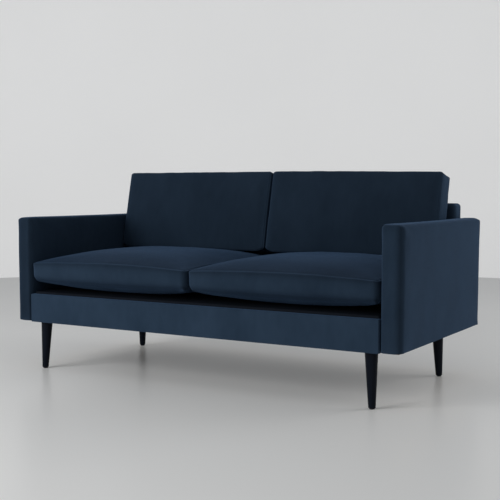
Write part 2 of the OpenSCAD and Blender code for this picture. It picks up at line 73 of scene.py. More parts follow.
class Signal:
    """A shader socket that Python's operators work on: each adds a Math node."""

    def __init__(self, graph: "Graph", socket: bpy.types.NodeSocket) -> None:
        """Wraps a socket of a graph.

        Args:
            graph: the graph that the socket is in.
            socket: an output socket.
        """
        self.graph = graph
        self.socket = socket

    def _math(self, operation: str, *values: "Value") -> "Signal":
        """Adds a Math node of that operation on the values."""
        return self.graph.node("ShaderNodeMath", {"operation": operation}, dict(enumerate(values)))

    def __add__(self, other: "Value") -> "Signal":
        """self + other."""
        return self._math("ADD", self, other)

    def __radd__(self, other: "Value") -> "Signal":
        """other + self."""
        return self._math("ADD", other, self)

    def __sub__(self, other: "Value") -> "Signal":
        """self - other."""
        return self._math("SUBTRACT", self, other)

    def __rsub__(self, other: "Value") -> "Signal":
        """other - self."""
        return self._math("SUBTRACT", other, self)

    def __mul__(self, other: "Value") -> "Signal":
        """self * other."""
        return self._math("MULTIPLY", self, other)

    def __rmul__(self, other: "Value") -> "Signal":
        """other * self."""
        return self._math("MULTIPLY", other, self)

    def clamped(self) -> "Signal":
        """The value held between 0 and 1."""
        return self._math("MINIMUM", self._math("MAXIMUM", self, 0.0), 1.0)

    def wave(self) -> "Signal":
        """The sine of the value."""
        return self._math("SINE", self)


Value = Signal | float
Colour = tuple[float, float, float]


class Graph:
    """The node tree of one material, with its Principled shader."""

    def __init__(self, name: str, **constants: float | Colour) -> None:
        """Makes a material whose only shader is a Principled one.

        Args:
            name: the material's name.
            constants: values for the shader's own sockets, with spaces in their names as underscores.
        """
        self.material = bpy.data.materials.new(name)
        self.material.use_nodes = True
        self.tree = self.material.node_tree
        self.tree.nodes.clear()
        self.shader = self._add("ShaderNodeBsdfPrincipled")
        self.output = self._add("ShaderNodeOutputMaterial", {}, {0: Signal(self, self.shader.outputs[0])})
        for key, value in constants.items():
            self.set(key.replace("_", " "), value)

    def _feed(self, socket: bpy.types.NodeSocket, value: "Value | Colour") -> None:
        """Links a signal to a socket, or sets the socket to a number or colour.

        Args:
            socket: an input socket.
            value: a signal, a number, or a colour or vector.
        """
        if isinstance(value, Signal):
            self.tree.links.new(value.socket, socket)
        elif isinstance(value, tuple) and len(socket.default_value) == 4:
            socket.default_value = (*value, 1.0)
        else:
            socket.default_value = value

    def set(self, name: str, value: "Value | Colour") -> None:
        """Feeds an input of the Principled shader."""
        self._feed(self.shader.inputs[name], value)

    def _add(self, kind: str, settings: dict | None = None, inputs: dict | None = None) -> bpy.types.Node:
        """Adds a node.

        Args:
            kind: the node's type.
            settings: its properties, set before its sockets.
            inputs: values or signals, by the socket's name or number.

        Returns:
            The node.
        """
        made = self.tree.nodes.new(kind)
        for key, value in (settings or {}).items():
            setattr(made, key, value)
        for key, value in (inputs or {}).items():
            self._feed(made.inputs[key], value)
        return made

    def node(self, kind: str, settings: dict | None = None, inputs: dict | None = None,
             output: int | str = 0) -> Signal:
        """Adds a node as _add does, and gives its chosen output."""
        return Signal(self, self._add(kind, settings, inputs).outputs[output])

    def parts(self, vector: Signal) -> list[Signal]:
        """The three numbers of a vector."""
        return [Signal(self, part) for part in self._add("ShaderNodeSeparateXYZ", {}, {0: vector}).outputs]

    def clear_from_behind(self) -> None:
        """Lets the surface be looked through from behind."""
        inputs = {0: self.node("ShaderNodeNewGeometry", output="Backfacing"),
                  1: Signal(self, self.shader.outputs[0]), 2: self.node("ShaderNodeBsdfTransparent")}
        self._feed(self.output.inputs[0], self.node("ShaderNodeMixShader", {}, inputs))

    def place(self, scale: Colour = (1.0, 1.0, 1.0), turn: Colour = (0.0, 0.0, 0.0)) -> Signal:
        """The object's own coordinates, stretched and turned."""
        here = self.node("ShaderNodeTexCoord", output="Object")
        return self.node("ShaderNodeMapping", {}, {"Vector": here, "Rotation": turn, "Scale": scale})

    def cloud(self, scale: float, detail: float = 2.0, where: Signal | None = None, rough: float = 0.5) -> Signal:
        """Smooth noise around 0.5, with features about 1/scale metres across."""
        inputs = {"Vector": where or self.place(), "Scale": scale, "Detail": detail, "Roughness": rough}
        return self.node("ShaderNodeTexNoise", {"noise_dimensions": "3D"}, inputs)

    def mix(self, share: "Value", low: "Signal | Colour", high: "Signal | Colour") -> Signal:
        """A colour between low and high."""
        return self.node("ShaderNodeMix", {"data_type": "RGBA"}, {0: share, 6: low, 7: high}, 2)

    def bump(self, height: Signal, depth: float, strength: float = 1.0, under: Signal | None = None) -> Signal:
        """A normal that shows height as relief.

        Args:
            height: the relief, from 0 to 1.
            depth: how deep it is, in metres.
            strength: how strongly it shows.
            under: another normal that it lies on.

        Returns:
            The normal.
        """
        inputs = {"Height": height, "Distance": depth, "Strength": strength}
        if under is not None:
            inputs["Normal"] = under
        return self.node("ShaderNodeBump", {}, inputs)


# ---------------------------------------------------------------- finishes


@dataclass(frozen=True)
class Velvet:
    """Short-pile velvet: dark where the pile points at the eye, pale where it is seen across."""

    name: str = "velvet"
    deep: Colour = (0.0130, 0.0245, 0.0420)
    brushed: Colour = (0.0245, 0.0425, 0.0700)
    sheen: float = 0.14
    sheen_tint: Colour = (0.30, 0.55, 1.0)
    pile: float = 1400.0
    nap: float = 7.0

    def make(self) -> bpy.types.Material:
        """Builds the material.

        Returns:
            The new material.
        """
        g = Graph(self.name, Sheen_Weight=self.sheen, Sheen_Roughness=0.5, Sheen_Tint=self.sheen_tint,
                  Specular_IOR_Level=0.05)
        swept = g.place(scale=(1.0, 1.0, 0.55))
        lay = g.cloud(self.nap, 3.0, swept, 0.55)
        streak = g.cloud(self.nap * 9, 2.0, g.place(scale=(1.0, 1.0, 0.35)))
        pile = g.cloud(self.pile, 1.0)
        share = ((lay - 0.5) * 1.5 + (streak - 0.5) * 0.45 + (pile - 0.5) * 0.35 + 0.45).clamped()
        # Painted shade and painted light: the colour is scaled by the tone attribute that each padded block writes.
        tone = g.node("ShaderNodeAttribute", {"attribute_name": PAINTED_SHADE}, output="Fac")
        pile_colour = g.mix(share, self.deep, self.brushed)
        g.set("Base Color", g.node("ShaderNodeVectorMath", {"operation": "SCALE"}, {0: pile_colour, "Scale": tone}))
        g.set("Roughness", (0.78 + (lay - 0.5) * 0.25 + (pile - 0.5) * 0.2).clamped())
        soft = g.bump(streak, 0.0006, 0.5)
        g.set("Normal", g.bump(pile, 0.0005, 0.55, soft))
        return g.material


@dataclass(frozen=True)
class StainedWood:
    """Turned hardwood, stained black-brown under a satin lacquer."""

    name: str = "stained_wood"
    dark: Colour = (0.0024, 0.0040, 0.0080)
    light: Colour = (0.0064, 0.0088, 0.0150)

    def make(self) -> bpy.types.Material:
        """Builds the material.

        Returns:
            The new material.
        """
        g = Graph(self.name, Coat_Roughness=0.25, Specular_IOR_Level=0.06)
        grain = g.cloud(60.0, 5.0, g.place(scale=(1.0, 1.0, 0.05)), 0.6)
        pore = g.cloud(900.0, 1.0, g.place(scale=(1.0, 1.0, 0.03)))
        share = ((grain - 0.5) * 2.2 + (pore - 0.5) * 0.8 + 0.4).clamped()
        g.set("Base Color", g.mix(share, self.dark, self.light))
        g.set("Roughness", (0.36 + (grain - 0.5) * 0.2).clamped())
        g.set("Coat Weight", (0.03 + (pore - 0.5) * 0.04).clamped())
        g.set("Normal", g.bump(pore, 0.0002, 0.35))
        return g.material


@dataclass(frozen=True)
class RawWood:
    """Sawn timber or board inside the upholstery."""

    name: str
    dark: Colour
    light: Colour
    grain: float = 28.0
    along: Colour = (0.08, 1.0, 1.0)

    def make(self) -> bpy.types.Material:
        """Builds the material.

        Returns:
            The new material.
        """
        g = Graph(self.name, Specular_IOR_Level=0.3)
        warp = g.cloud(3.0, 2.0)
        grain = g.cloud(self.grain, 6.0, g.place(scale=self.along), 0.62)
        ring = ((grain * 34.0 + warp * 6.0).wave() * 0.5 + 0.5) * 0.5 + grain * 0.5
        g.set("Base Color", g.mix(ring.clamped(), self.dark, self.light))
        g.set("Roughness", (0.6 + (grain - 0.5) * 0.3).clamped())
        g.set("Normal", g.bump(ring, 0.0004, 0.4))
        return g.material


@dataclass(frozen=True)
class Woven:
    """A plain weave or a non-woven cloth: webbing, lining and zip tape."""

    name: str
    dark: Colour
    light: Colour
    pitch: float = 0.0022
    rough: float = 0.85
    depth: float = 0.0004

    def make(self) -> bpy.types.Material:
        """Builds the material.

        Returns:
            The new material.
        """
        g = Graph(self.name, Specular_IOR_Level=0.04)
        turns = 2 * math.pi / self.pitch
        across, along, upright = g.parts(g.place())
        weave = (across * turns).wave() * ((along + upright) * turns).wave() * 0.5 + 0.5
        fibre = g.cloud(500.0, 3.0)
        patch = g.cloud(9.0, 2.0)
        share = (weave * 0.55 + (fibre - 0.5) * 0.5 + (patch - 0.5) * 0.4 + 0.2).clamped()
        g.set("Base Color", g.mix(share, self.dark, self.light))
        g.set("Roughness", (self.rough + (fibre - 0.5) * 0.15).clamped())
        g.set("Normal", g.bump(weave * 0.7 + fibre * 0.3, self.depth, 0.6))
        return g.material


@dataclass(frozen=True)
class Metal:
    """Plated steel or brass, with fine handling marks."""

    name: str
    dark: Colour
    light: Colour
    rough: float = 0.32

    def make(self) -> bpy.types.Material:
        """Builds the material.

        Returns:
            The new material.
        """
        g = Graph(self.name, Metallic=1.0)
        haze = g.cloud(90.0, 4.0)
        scratch = g.cloud(700.0, 2.0, g.place(scale=(1.0, 0.1, 1.0)))
        g.set("Base Color", g.mix(haze, self.dark, self.light))
        g.set("Roughness", (self.rough + (haze - 0.5) * 0.25 + (scratch - 0.5) * 0.2).clamped())
        g.set("Normal", g.bump(scratch, 0.00005, 0.4))
        return g.material


@dataclass(frozen=True)
class Granular:
    """Foam, nylon and other plain stuff with a fine grain."""

    name: str
    dark: Colour
    light: Colour
    rough: float = 0.9
    grain: float = 600.0
    depth: float = 0.0004

    def make(self) -> bpy.types.Material:
        """Builds the material.

        Returns:
            The new material.
        """
        g = Graph(self.name, Specular_IOR_Level=0.25)
        cell = g.cloud(self.grain, 2.0)
        patch = g.cloud(6.0, 3.0)
        g.set("Base Color", g.mix((cell * 0.6 + patch * 0.4).clamped(), self.dark, self.light))
        g.set("Roughness", (self.rough + (cell - 0.5) * 0.2).clamped())
        g.set("Normal", g.bump(cell, self.depth, 0.5))
        return g.material


@dataclass(frozen=True)
class Finishes:
    """Every material of the sofa, by the record's slot."""

    by_slot: dict[str, bpy.types.Material] = field(default_factory=dict)

    @classmethod
    def make(cls) -> "Finishes":
        """Builds one material for each slot of the record.

        Returns:
            The whole set.
        """
        made = {
            "velvet": Velvet().make(),
            "seat_velvet": Velvet(name="seat_velvet", nap=6.0).make(),
            "back_velvet": Velvet(name="back_velvet", nap=5.0).make(),
            "leg_wood": StainedWood().make(),
            "frame_timber": RawWood("pine", (0.42, 0.26, 0.12), (0.72, 0.55, 0.34)).make(),
            "board": RawWood("hardboard", (0.16, 0.09, 0.045), (0.27, 0.17, 0.09), 260.0, (1.0, 1.0, 1.0)).make(),
            "webbing": Woven("webbing", (0.07, 0.04, 0.02), (0.20, 0.12, 0.06), 0.004).make(),
            "foam": Granular("foam", (0.58, 0.54, 0.42), (0.80, 0.77, 0.66)).make(),
            "lining": Woven("lining", (0.0048, 0.0062, 0.0092), (0.0125, 0.0155, 0.0215), 0.0016).make(),
            "zinc": Metal("zinc", (0.42, 0.42, 0.40), (0.62, 0.62, 0.60)).make(),
            "brass": Metal("brass", (0.50, 0.36, 0.14), (0.72, 0.56, 0.26)).make(),
            "glide": Granular("nylon", (0.010, 0.010, 0.011), (0.030, 0.030, 0.032), 0.5, 1500.0, 0.0001).make(),
            "zip": Woven("zip_tape", (0.006, 0.012, 0.022), (0.016, 0.028, 0.048), 0.0011).make(),
            "nickel": Metal("dark_nickel", (0.20, 0.20, 0.20), (0.38, 0.38, 0.37), 0.25).make(),
        }
        return cls(made)

    def dress(self, piece: bpy.types.Object, slot: str) -> None:
        """Gives a piece the material of a slot.

        Args:
            piece: the piece or CAD node.
            slot: the slot's name in the record.
        """
        piece.data.materials.clear()
        piece.data.materials.append(self.by_slot[slot])

    def dress_frame(self) -> None:
        """Gives every node of the frame the material of its own slot."""
        for row in frame["record"]["subparts"]:
            self.dress(frame["nodes"][row["node"]], row["material_slot"])


# ---------------------------------------------------------------- mesh helpers


def finish_piece(bm: bmesh.types.BMesh, name: str, body: str, smooth: bool = True) -> bpy.types.Object:
    """Turns a bmesh into a piece that rides on a body.

    Args:
        bm: the finished mesh, in the row frame. It is freed.
        name: the piece's name.
        body: the body that it moves with.
        smooth: whether its faces are shaded smooth.

    Returns:
        The new object.
    """
    mesh = bpy.data.meshes.new(name)
    bmesh.ops.recalc_face_normals(bm, faces=bm.faces[:])
    bm.to_mesh(mesh)
    bm.free()
    for face in mesh.polygons:
        face.use_smooth = smooth
    piece = bpy.data.objects.new(name, mesh)
    bpy.context.scene.collection.objects.link(piece)
    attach(piece, body)
    log.info("%s: %d faces on %s", name, len(mesh.polygons), body)
    return piece


def coords_of(mesh: bpy.types.Mesh) -> np.ndarray:
    """The mesh's vertex positions.

    Args:
        mesh: any mesh.

    Returns:
        An array with a row for each vertex.
    """
    flat = np.empty(len(mesh.vertices) * 3, np.float32)
    mesh.vertices.foreach_get("co", flat)
    return flat.reshape(-1, 3).astype(float)


def eased(share: np.ndarray) -> np.ndarray:
    """The share from 0 to 1 with soft ends."""
    return share * share * (3 - 2 * share)


def zip_length(width: float) -> float:
    """The length of the zip in a cushion of that width."""
    return ZIP_SHARE * width


def flat_near_zip(along: np.ndarray, across: np.ndarray, length: float) -> np.ndarray:
    """How flat a cushion is pulled by its zip: 1 under the tape and 0 away from it.

    Args:
        along: places along the zip, from its middle.
        across: places across its tape, from its middle.
        length: the zip's length.

    Returns:
        The share for each place.
    """
    reach, run_out = 15 * MM, 14 * MM
    past = np.maximum(abs(along) - length / 2, abs(across) - reach)
    return 1 - eased(np.clip(past / run_out, 0, 1))


def subdivided(piece: bpy.types.Object, levels: int = 1) -> None:
    """Adds a live subdivision surface."""
    made = piece.modifiers.new("smooth", "SUBSURF")
    made.levels = made.render_levels = levels


# ---------------------------------------------------------------- upholstery


class Seam(Enum):
    """The faces of a padded block that a seam can run round."""

    LEFT = (0, -1)
    RIGHT = (0, 1)
    FRONT = (1, -1)
    REAR = (1, 1)
    BOTTOM = (2, -1)
    TOP = (2, 1)


@dataclass
class Swell:
    """How far a pair of opposite faces stands out: bow along the rims and crown in the middle.

    A higher power makes the crown fuller, with a flatter middle and steeper sides.
    """

    low_bow: float = 0.0
    low_crown: float = 0.0
    high_bow: float = 0.0
    high_crown: float = 0.0
    power: float = 2.0


@dataclass
class PaddedBlock:
    """A padded block under a sewn cover, from a box, rounding, swelling and seams.

    The block is drawn in its own axes and then put in place. Each face's grid is close near the edges,
    so that the rounding and the seams have the points they need.
    """

    name: str
    body: str
    low: Vector
    high: Vector
    low_round: Colour
    high_round: Colour
    step: float = 0.014
    swells: tuple[Swell, Swell, Swell] = (Swell(), Swell(), Swell())
    seams: tuple[Seam, ...] = ()
    seam_depth: float = 1.8 * MM
    pucker: float = 0.8 * MM
    pressure: float = 4.0
    cap: float = 8 * MM
    fill: float = 0.8
    uneven: float = 0.6 * MM
    # fade, tone, the face tones and the edge tones paint shade and light into the cover's colour: a scale for each
    # face, blended over fade near the edges, and darker bands along chosen edges.
    fade: float = 20 * MM
    tone: float = 1.0
    painted_face_shades: dict[Seam, float] = field(default_factory=dict)
    painted_edge_shades: dict[tuple[Seam, Seam], float] = field(default_factory=dict)
    place: Matrix = field(default_factory=lambda: Matrix.Identity(4))
    shaping: Callable[[np.ndarray], np.ndarray] | None = None

    TURNS = (33.75, 22.5, 11.25, 0.0)
    FRAMES = 20
    HELD_NEAR_SEAM = 0.9
    HELD_WITHIN = 3 * MM
    GROOVE = 2.2 * MM
    LIP_AT = 5 * MM
    LIP = 3 * MM
    PUCKERED = 22 * MM

    def _lines(self, axis: int) -> list[float]:
        """The grid's places along an axis.

        Args:
            axis: 0, 1 or 2.

        Returns:
            The places from the low end to the high one, both included.
        """
        low, high = self.low[axis], self.high[axis]
        bends = [1 - math.tan(math.radians(a)) for a in self.TURNS]
        near = [low + self.low_round[axis] * b for b in bends]
        far = [high - self.high_round[axis] * b for b in reversed(bends)]
        count = max(1, round((far[0] - near[-1]) / self.step))
        even = [near[-1] + (far[0] - near[-1]) * i / count for i in range(1, count)]
        return [low, *near, *even, *far, high]

    def _grid(self) -> tuple[bmesh.types.BMesh, np.ndarray]:
        """Cuts the box into a grid.

        Returns:
            The bmesh, and its points before any shaping.
        """
        bm = bmesh.new()
        bmesh.ops.create_cube(bm, size=1.0)
        lines = [self._lines(axis) for axis in range(3)]
        for axis in range(3):
            edges = [e for e in bm.edges if abs(e.verts[0].co[axis] - e.verts[1].co[axis]) > 0.5]
            bmesh.ops.subdivide_edges(bm, edges=edges, cuts=len(lines[axis]) - 2, use_grid_fill=True)
        unit = np.array([v.co for v in bm.verts], float) + 0.5
        box = np.empty_like(unit)
        for axis in range(3):
            index = np.rint(unit[:, axis] * (len(lines[axis]) - 1)).astype(int)
            box[:, axis] = np.array(lines[axis])[index]
        return bm, box

    def _rounded(self, box: np.ndarray) -> np.ndarray:
        """Rounds every edge and corner.

        Args:
            box: the box's points.

        Returns:
            The points on the rounded box.
        """
        low, high = np.array(self.low), np.array(self.high)
        r_low, r_high = np.array(self.low_round), np.array(self.high_round)
        core = np.clip(box, low + r_low, high - r_high)
        radius = np.where(box < core, r_low, r_high)
        way = (box - core) / radius
        length = np.linalg.norm(way, axis=1, keepdims=True)
        return core + radius * way / np.maximum(length, 1e-9)

    def _swollen(self, box: np.ndarray) -> np.ndarray:
        """Works out how the faces swell.

        Args:
            box: the box's points.

        Returns:
            The move of each point.
        """
        middle, half = np.array(self.low + self.high) / 2, np.array(self.high - self.low) / 2
        t = (box - middle) / half
        out = np.zeros_like(box)
        for axis, swell in enumerate(self.swells):
            u, v = (t[:, i] for i in range(3) if i != axis)
            rim, dome = 1 - u**2 * v**2, (1 - abs(u) ** swell.power) * (1 - abs(v) ** swell.power)
            high = swell.high_bow * rim + swell.high_crown * dome
            low = swell.low_bow * rim + swell.low_crown * dome
            out[:, axis] = np.where(t[:, axis] > 0, t[:, axis] * high, t[:, axis] * low)
        return out

    def seam_distance(self, box: np.ndarray, seam: Seam) -> np.ndarray:
        """How far along the surface the points are from the seam round a face.

        Args:
            box: the box's points.
            seam: the face.

        Returns:
            The distance of each point.
        """
        axis, sign = seam.value
        to_face = self.high[axis] - box[:, axis] if sign > 0 else box[:, axis] - self.low[axis]
        others = [i for i in range(3) if i != axis]
        to_rim = np.min([np.minimum(box[:, i] - self.low[i], self.high[i] - box[:, i]) for i in others], axis=0)
        return np.maximum(to_face, to_rim)

    def _inflate(self, piece: bpy.types.Object, held: np.ndarray) -> None:
        """Blows the cover up from inside as cloth, and keeps each point near where it started.

        Args:
            piece: the block's object.
            held: how firmly each point is held, from 0 to 1, as a seam is.
        """
        start = coords_of(piece.data)
        group = piece.vertex_groups.new(name="held")
        for level in np.unique(np.round(held, 1)):
            if level > 0:
                group.add(np.nonzero(np.round(held, 1) == level)[0].tolist(), float(level), "REPLACE")
        cloth = piece.modifiers.new("cloth", "CLOTH")
        s = cloth.settings
        s.quality = 5
        s.mass = 0.4
        s.tension_stiffness = s.compression_stiffness = 12
        s.shear_stiffness = 6
        s.bending_stiffness = 0.6
        s.use_pressure = True
        s.uniform_pressure_force = self.pressure
        s.vertex_group_mass = group.name
        s.effector_weights.gravity = 0
        cloth.collision_settings.use_collision = False
        cloth.point_cache.frame_start, cloth.point_cache.frame_end = 1, self.FRAMES
        begun = time.monotonic()
        for step in range(1, self.FRAMES + 1):
            bpy.context.scene.frame_set(step)
        shaped = piece.evaluated_get(bpy.context.evaluated_depsgraph_get())
        moved = coords_of(shaped.data) - start
        piece.modifiers.remove(cloth)
        piece.vertex_groups.remove(group)
        bpy.context.scene.frame_set(1)
        far = np.linalg.norm(moved, axis=1, keepdims=True)
        kept = self.cap * np.tanh(far / self.cap) / np.maximum(far, 1e-9)
        log.info("%s: cloth moved %.1f mm at most, in %.1f s", self.name, far.max() / MM, time.monotonic() - begun)
        piece.data.vertices.foreach_set("co", (start + moved * kept).astype(np.float32).ravel())

    def _sew(self, mesh: bpy.types.Mesh, box: np.ndarray) -> None:
        """Draws the cloth in at the seams, puckers it beside them and makes it a little uneven.

        Args:
            mesh: the block's mesh.
            box: the box's points.
        """
        mesh.update()
        normals = np.empty(len(mesh.vertices) * 3, np.float32)
        mesh.vertices.foreach_get("normal", normals)
        normals = normals.reshape(-1, 3)
        co = coords_of(mesh)
        for seam in self.seams:
            d = self.seam_distance(box, seam)
            groove = -self.seam_depth * np.exp(-((d / self.GROOVE) ** 2))
            lip = 0.35 * self.seam_depth * np.exp(-(((d - self.LIP_AT) / self.LIP) ** 2))
            beside = np.exp(-((d / self.PUCKERED) ** 2))
            wave = np.array([noise.noise(Vector(p) * 38.0) for p in co])
            co += normals * (groove + lip + self.pucker * beside * wave)[:, None]
        lumps = np.array([noise.noise(Vector(p) * 5.5) + 0.5 * noise.noise(Vector(p) * 13.0) for p in co])
        co += normals * (self.uneven * lumps)[:, None]
        mesh.vertices.foreach_set("co", co.astype(np.float32).ravel())

    def _tint(self, mesh: bpy.types.Mesh, box: np.ndarray) -> None:
        """Writes painted shade and painted light into the cover: a tone for each face, blended over fade near the
        edges, and darker bands along chosen pairs of faces.

        Args:
            mesh: the block's mesh.
            box: the box's points.
        """
        shares = {face: self._nearness(box, face) for face in Seam}
        total = sum(share * self.painted_face_shades.get(face, self.tone) for face, share in shares.items())
        tone = total / np.maximum(sum(shares.values()), 1)
        for (one, other), edge in self.painted_edge_shades.items():
            tone *= 1 - (1 - edge) * shares[one] * shares[other]
        mesh.attributes.new(PAINTED_SHADE, "FLOAT", "POINT").data.foreach_set("value", tone.astype(np.float32))

    def _nearness(self, box: np.ndarray, face: Seam) -> np.ndarray:
        """How near the points are to the plane of a face.

        Args:
            box: the box's points.
            face: the face.

        Returns:
            The share of each point, from 1 on the plane to 0 well away.
        """
        axis, sign = face.value
        plane = self.high[axis] if sign > 0 else self.low[axis]
        return np.clip(1 - abs(box[:, axis] - plane) / self.fade, 0, 1) ** 2

    def build(self, simulate: bool = True) -> bpy.types.Object:
        """Makes the padded piece, swollen by cloth simulation and sewn.

        Args:
            simulate: whether the cover is blown up as cloth.

        Returns:
            The finished piece, which rides on its body.
        """
        bm, box = self._grid()
        points = self._rounded(box) + self._swollen(box)
        for vert, point in zip(bm.verts, points):
            vert.co = point
        piece = finish_piece(bm, self.name, self.body)
        if simulate:
            near = np.min([self.seam_distance(box, seam) for seam in self.seams], axis=0)
            self._inflate(piece, np.where(near < self.HELD_WITHIN, self.HELD_NEAR_SEAM, 0.0))
        self._sew(piece.data, box)
        # Painted shade and painted light, written as the tone attribute.
        self._tint(piece.data, box)
        if self.shaping is not None:
            co = self.shaping(coords_of(piece.data))
            piece.data.vertices.foreach_set("co", co.astype(np.float32).ravel())
        piece.data.transform(self.place)
        piece.data.update()
        subdivided(piece)
        return piece


@dataclass
class Carcass:
    """The fixed upholstery: two arms, the back, the base and the deck."""

    finishes: Finishes
    edge: float = 18 * MM
    outer_edge: float = 30 * MM
    inner_edge: float = 13 * MM
    front_edge: float = 24 * MM
    top_edge: float = 15 * MM
    crisp: float = 4 * MM

    def arm(self, side: str) -> bpy.types.Object:
        """Makes one padded arm, with a seam round its top and its rear.

        Args:
            side: left or right.

        Returns:
            The arm.
        """
        low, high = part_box(f"{side}_arm_cover")
        # front is painted shade on the arm's front face: the left arm's front is painted darker than the right
        # arm's.
        rounds, outward, inward, front = (self.outer_edge, self.inner_edge), Seam.LEFT, Seam.RIGHT, 0.5
        if side == "right":
            rounds, outward, inward, front = rounds[::-1], Seam.RIGHT, Seam.LEFT, 0.82
        block = PaddedBlock(
            f"{side}_arm", "frame", low, high,
            (rounds[0], self.front_edge, self.crisp), (rounds[1], self.edge, self.top_edge),
            step=0.022,
            swells=(Swell(0.0, 2.5 * MM, 0.0, 2.5 * MM), Swell(0.0, 4 * MM, 0.0, 0.0),
                    Swell(0.0, 1 * MM, 0.0, -2 * MM)),
            seams=(Seam.REAR, Seam.TOP), seam_depth=1.1 * MM, cap=2.5 * MM, pressure=2.0, fill=0.95,
            # Painted shade: front, top and inner faces darker than the outer side, and darker bands painted along
            # the front-outer and front-top edges.
            fade=34 * MM, tone=0.85, painted_face_shades={Seam.FRONT: front, Seam.TOP: 0.75, inward: 0.75},
            painted_edge_shades={(Seam.FRONT, outward): 0.72, (Seam.FRONT, Seam.TOP): 0.85})
        piece = block.build()
        self.finishes.dress(piece, "velvet")
        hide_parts(f"{side}_arm_cover", f"{side}_arm_padding")
        return piece

    def back(self) -> bpy.types.Object:
        """Makes the padded back between the arms.

        Returns:
            The piece.
        """
        low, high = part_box("back_cover")
        block = PaddedBlock(
            "back_panel", "frame", low, high,
            (self.edge, self.edge, self.crisp), (self.edge, self.edge, self.edge),
            step=0.024,
            swells=(Swell(), Swell(0.0, 2 * MM, 0.0, 2 * MM), Swell(0.0, 0.0, 0.0, 2 * MM)),
            seams=(Seam.REAR,), cap=2.5 * MM, pressure=2.0, fill=0.9)
        piece = block.build()
        self.finishes.dress(piece, "velvet")
        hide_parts("back_cover", "back_padding")
        return piece

    def base(self) -> bpy.types.Object:
        """Makes the base under the seats, with crisp edges.

        Returns:
            The piece.
        """
        low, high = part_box("base_cover")
        block = PaddedBlock(
            "base", "frame", low, high,
            (self.crisp, self.crisp, self.crisp), (self.crisp, self.crisp, 6 * MM),
            step=0.022,
            swells=(Swell(), Swell(0.0, 2.5 * MM, 0.0, 0.0), Swell()),
            cap=1.5 * MM, pressure=1.0, fill=0.95, uneven=0.3 * MM, tone=1.03)
        piece = block.build(simulate=False)
        self.finishes.dress(piece, "velvet")
        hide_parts("base_cover", "front_padding")
        return piece

    def deck(self) -> bpy.types.Object:
        """Makes the thin pad of lining cloth that the seat cushions lie on.

        Returns:
            The piece.
        """
        low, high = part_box("deck_cover")
        low = Vector((low.x, low.y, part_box("base_cover")[1].z - 1 * MM))
        block = PaddedBlock(
            "deck", "frame", low, high,
            (9 * MM, 9 * MM, 1 * MM), (9 * MM, 9 * MM, 7 * MM),
            step=0.03, swells=(Swell(), Swell(), Swell(0.0, 0.0, 0.0, 1.5 * MM)),
            cap=1 * MM, pressure=0.5, fill=0.7)
        piece = block.build(simulate=False)
        self.finishes.dress(piece, "lining")
        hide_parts("deck_cover", "deck_pad")
        return piece


